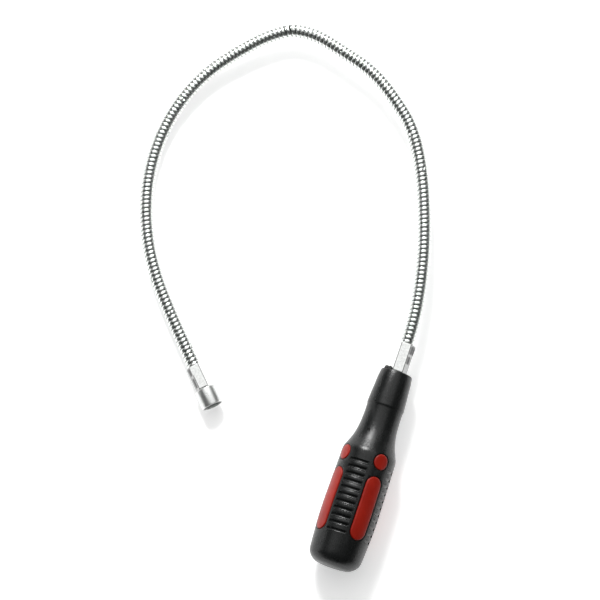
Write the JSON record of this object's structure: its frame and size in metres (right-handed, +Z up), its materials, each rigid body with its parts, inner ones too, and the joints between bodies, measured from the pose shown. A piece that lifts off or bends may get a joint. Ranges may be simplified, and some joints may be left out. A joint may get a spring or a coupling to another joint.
{
  "type": "flexible magnetic pick-up tool",
  "caption": "Magnetic pick-up tool: ribbed black rubber handle with red panels, flexible chrome gooseneck bent into an arch, and a small cup magnet at its tip.",
  "frame": {"origin": "on the surface that the tool lies on, under the middle of its bounding box", "axes": "+Z up from the surface, +Y along the handle from its butt towards the gooseneck, the arch to the -X side"},
  "size_m": [0.1875, 0.2845, 0.0314],
  "materials": {
    "black_rubber": "satin black overmoulded rubber",
    "red_plastic": "semi-gloss red hard plastic",
    "bright_plate": "bright nickel or chrome plate on steel",
    "wound_wire_plate": "bright plated spring wire, wound in close turns",
    "satin_plate": "satin plated steel",
    "magnet_dark": "dark grey sintered magnet, slightly metallic"
  },
  "bodies": {
    "handle": {"grip": "black_rubber", "handle_core": "red_plastic", "handle_ferrule": "bright_plate"},
    "neck_01": {"gooseneck_section_01": "wound_wire_plate"},
    "neck_02": {"gooseneck_section_02": "wound_wire_plate"},
    "neck_03": {"gooseneck_section_03": "wound_wire_plate"},
    "neck_04": {"gooseneck_section_04": "wound_wire_plate"},
    "neck_05": {"gooseneck_section_05": "wound_wire_plate"},
    "neck_06": {"gooseneck_section_06": "wound_wire_plate"},
    "neck_07": {"gooseneck_section_07": "wound_wire_plate"},
    "neck_08": {"gooseneck_section_08": "wound_wire_plate"},
    "neck_09": {"gooseneck_section_09": "wound_wire_plate"},
    "neck_10": {"gooseneck_section_10": "wound_wire_plate"},
    "neck_11": {"gooseneck_section_11": "wound_wire_plate"},
    "neck_12": {"gooseneck_section_12": "wound_wire_plate"},
    "neck_13": {"gooseneck_section_13": "wound_wire_plate"},
    "neck_14": {"gooseneck_section_14": "wound_wire_plate"},
    "neck_15": {"gooseneck_section_15": "wound_wire_plate"},
    "neck_16": {"gooseneck_section_16": "wound_wire_plate"},
    "neck_17": {"gooseneck_section_17": "wound_wire_plate"},
    "neck_18": {"gooseneck_section_18": "wound_wire_plate"},
    "neck_19": {"gooseneck_section_19": "wound_wire_plate"},
    "neck_20": {"gooseneck_section_20": "wound_wire_plate"},
    "neck_21": {"gooseneck_section_21": "wound_wire_plate", "tip_ferrule": "bright_plate", "magnet_cup": "satin_plate", "magnet": "magnet_dark"}
  },
  "joints": [
    {"name": "neck_01_curl", "type": "hinge", "parent": "handle", "child": "neck_01", "pos_m": [0.078, -0.01145, 0.0157], "axis": [-0.0767, -0.0348, 0.9964], "range_deg": [-24, 24]},
    {"name": "neck_02_lift", "type": "hinge", "parent": "neck_01", "child": "neck_02", "pos_m": [0.07651, 0.00987, 0.01633], "axis": [-0.9873, -0.1364, -0.0808], "range_deg": [-20, 20]},
    {"name": "neck_03_curl", "type": "hinge", "parent": "neck_02", "child": "neck_03", "pos_m": [0.07263, 0.0309, 0.01676], "axis": [-0.0767, -0.0348, 0.9964], "range_deg": [-24, 24]},
    {"name": "neck_04_lift", "type": "hinge", "parent": "neck_03", "child": "neck_04", "pos_m": [0.06692, 0.05152, 0.01705], "axis": [0.9483, 0.3063, 0.0837], "range_deg": [-20, 20]},
    {"name": "neck_05_curl", "type": "hinge", "parent": "neck_04", "child": "neck_05", "pos_m": [0.05963, 0.07164, 0.01719], "axis": [-0.0767, -0.0348, 0.9964], "range_deg": [-24, 24]},
    {"name": "neck_06_lift", "type": "hinge", "parent": "neck_05", "child": "neck_06", "pos_m": [0.05045, 0.09095, 0.01716], "axis": [-0.872, -0.4822, -0.084], "range_deg": [-20, 20]},
    {"name": "neck_07_curl", "type": "hinge", "parent": "neck_06", "child": "neck_07", "pos_m": [0.03779, 0.10813, 0.01678], "axis": [-0.0767, -0.0348, 0.9964], "range_deg": [-24, 18]},
    {"name": "neck_08_lift", "type": "hinge", "parent": "neck_07", "child": "neck_08", "pos_m": [0.02111, 0.12148, 0.01596], "axis": [0.5719, 0.8171, 0.0726], "range_deg": [-20, 20]},
    {"name": "neck_09_curl", "type": "hinge", "parent": "neck_08", "child": "neck_09", "pos_m": [0.00201, 0.13087, 0.01482], "axis": [-0.0767, -0.0348, 0.9964], "range_deg": [-24, 16]},
    {"name": "neck_10_lift", "type": "hinge", "parent": "neck_09", "child": "neck_10", "pos_m": [-0.0185, 0.13682, 0.01345], "axis": [-0.2581, -0.9646, -0.0536], "range_deg": [-20, 20]},
    {"name": "neck_11_curl", "type": "hinge", "parent": "neck_10", "child": "neck_11", "pos_m": [-0.03961, 0.13706, 0.01183], "axis": [-0.0767, -0.0348, 0.9964], "range_deg": [-24, 16]},
    {"name": "neck_12_lift", "type": "hinge", "parent": "neck_11", "child": "neck_12", "pos_m": [-0.05658, 0.12429, 0.01008], "axis": [-0.7172, 0.6962, -0.0309], "range_deg": [-20, 20]},
    {"name": "neck_13_curl", "type": "hinge", "parent": "neck_12", "child": "neck_13", "pos_m": [-0.07057, 0.10819, 0.00844], "axis": [-0.0767, -0.0348, 0.9964], "range_deg": [-24, 20]},
    {"name": "neck_14_lift", "type": "hinge", "parent": "neck_13", "child": "neck_14", "pos_m": [-0.08154, 0.08993, 0.00696], "axis": [0.9109, -0.4089, 0.0558], "range_deg": [-20, 20]},
    {"name": "neck_15_curl", "type": "hinge", "parent": "neck_14", "child": "neck_15", "pos_m": [-0.08794, 0.0696, 0.00575], "axis": [-0.0767, -0.0348, 0.9964], "range_deg": [-24, 24]},
    {"name": "neck_16_lift", "type": "hinge", "parent": "neck_15", "child": "neck_16", "pos_m": [-0.08979, 0.04833, 0.00487], "axis": [-0.9969, -0.0148, -0.0773], "range_deg": [-20, 20]},
    {"name": "neck_17_curl", "type": "hinge", "parent": "neck_16", "child": "neck_17", "pos_m": [-0.0872, 0.02714, 0.00433], "axis": [-0.0767, -0.0348, 0.9964], "range_deg": [-24, 24]},
    {"name": "neck_18_lift", "type": "hinge", "parent": "neck_17", "child": "neck_18", "pos_m": [-0.08061, 0.00681, 0.00413], "axis": [0.9178, 0.388, 0.0842], "range_deg": [-20, 20]},
    {"name": "neck_19_curl", "type": "hinge", "parent": "neck_18", "child": "neck_19", "pos_m": [-0.07061, -0.01208, 0.00424], "axis": [-0.0767, -0.0348, 0.9964], "range_deg": [-24, 24]},
    {"name": "neck_20_lift", "type": "hinge", "parent": "neck_19", "child": "neck_20", "pos_m": [-0.05778, -0.02918, 0.00463], "axis": [-0.7525, -0.6536, -0.0808], "range_deg": [-20, 20]},
    {"name": "neck_21_curl", "type": "hinge", "parent": "neck_20", "child": "neck_21", "pos_m": [-0.0435, -0.04511, 0.00517], "axis": [-0.0767, -0.0348, 0.9964], "range_deg": [-24, 24]}
  ]
}
